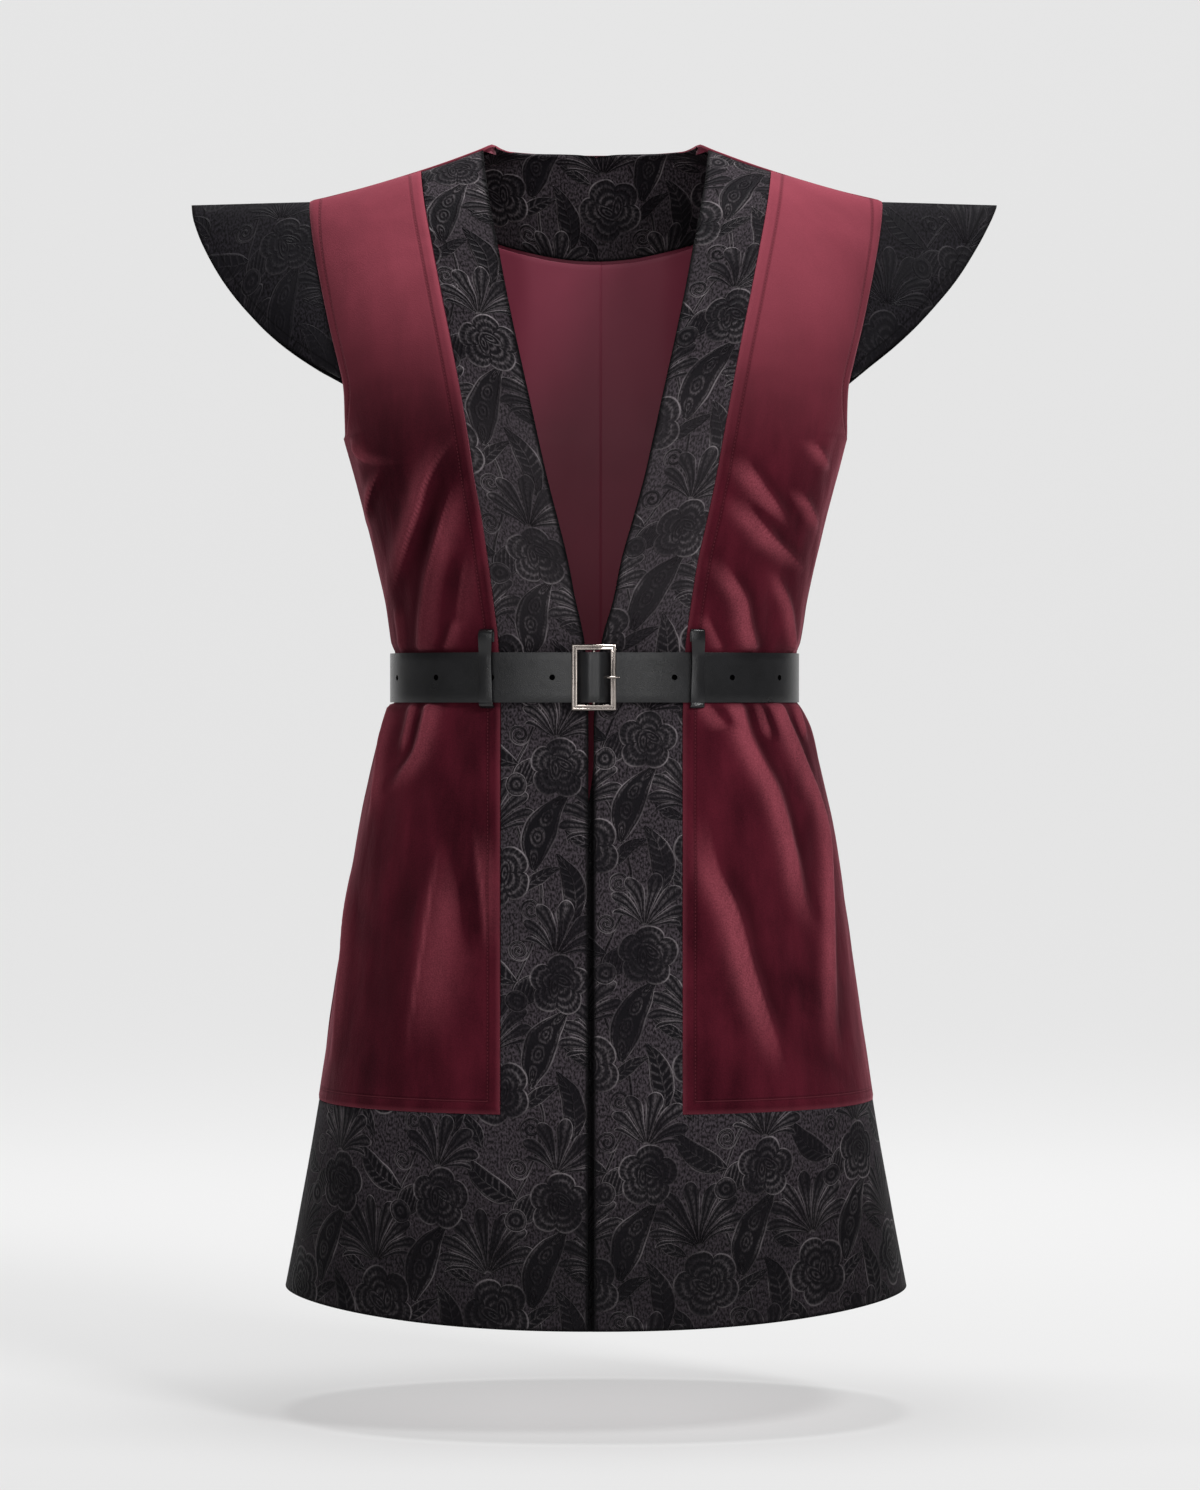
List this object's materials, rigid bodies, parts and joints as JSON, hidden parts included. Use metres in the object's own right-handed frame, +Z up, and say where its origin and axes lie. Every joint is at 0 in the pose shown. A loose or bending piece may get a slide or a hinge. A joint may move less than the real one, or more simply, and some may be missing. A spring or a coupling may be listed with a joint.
{
  "type": "costume vest",
  "caption": "Long sleeveless costume vest in velvet with patterned brocade bands, hem border and cap sleeves, lined at the back and closed by a leather belt through loops.",
  "frame": {"origin": "midway between the two shoulder ridges, at the height of the neck points, where the vest rests on the wearer", "axes": "+Z up along the wearer, -Y the way the wearer faces, +X towards the wearer's left"},
  "size_m": [0.6592, 0.3238, 0.9493],
  "materials": {
    "velvet": "wine-red pile velvet with a soft sheen",
    "brocade": "near-black brocade with a raised leaf and flower pattern, satin ground",
    "lining": "smooth wine-red lining satin",
    "leather": "black belt leather, satin",
    "buckle": "pale nickel, polished with soft wear"
  },
  "bodies": {
    "root": {"front_velvet_r": "velvet", "front_velvet_l": "velvet", "back_velvet": "velvet", "front_brocade_r": "brocade", "front_brocade_l": "brocade", "back_hem_brocade": "brocade", "back_neck_facing": "brocade", "cap_sleeve_r": "brocade", "cap_sleeve_l": "brocade", "back_lining": "lining", "belt_strap": "leather", "belt_loop_r": "leather", "belt_loop_l": "leather", "buckle_frame": "buckle", "buckle_prong": "buckle"}
  },
  "joints": []
}
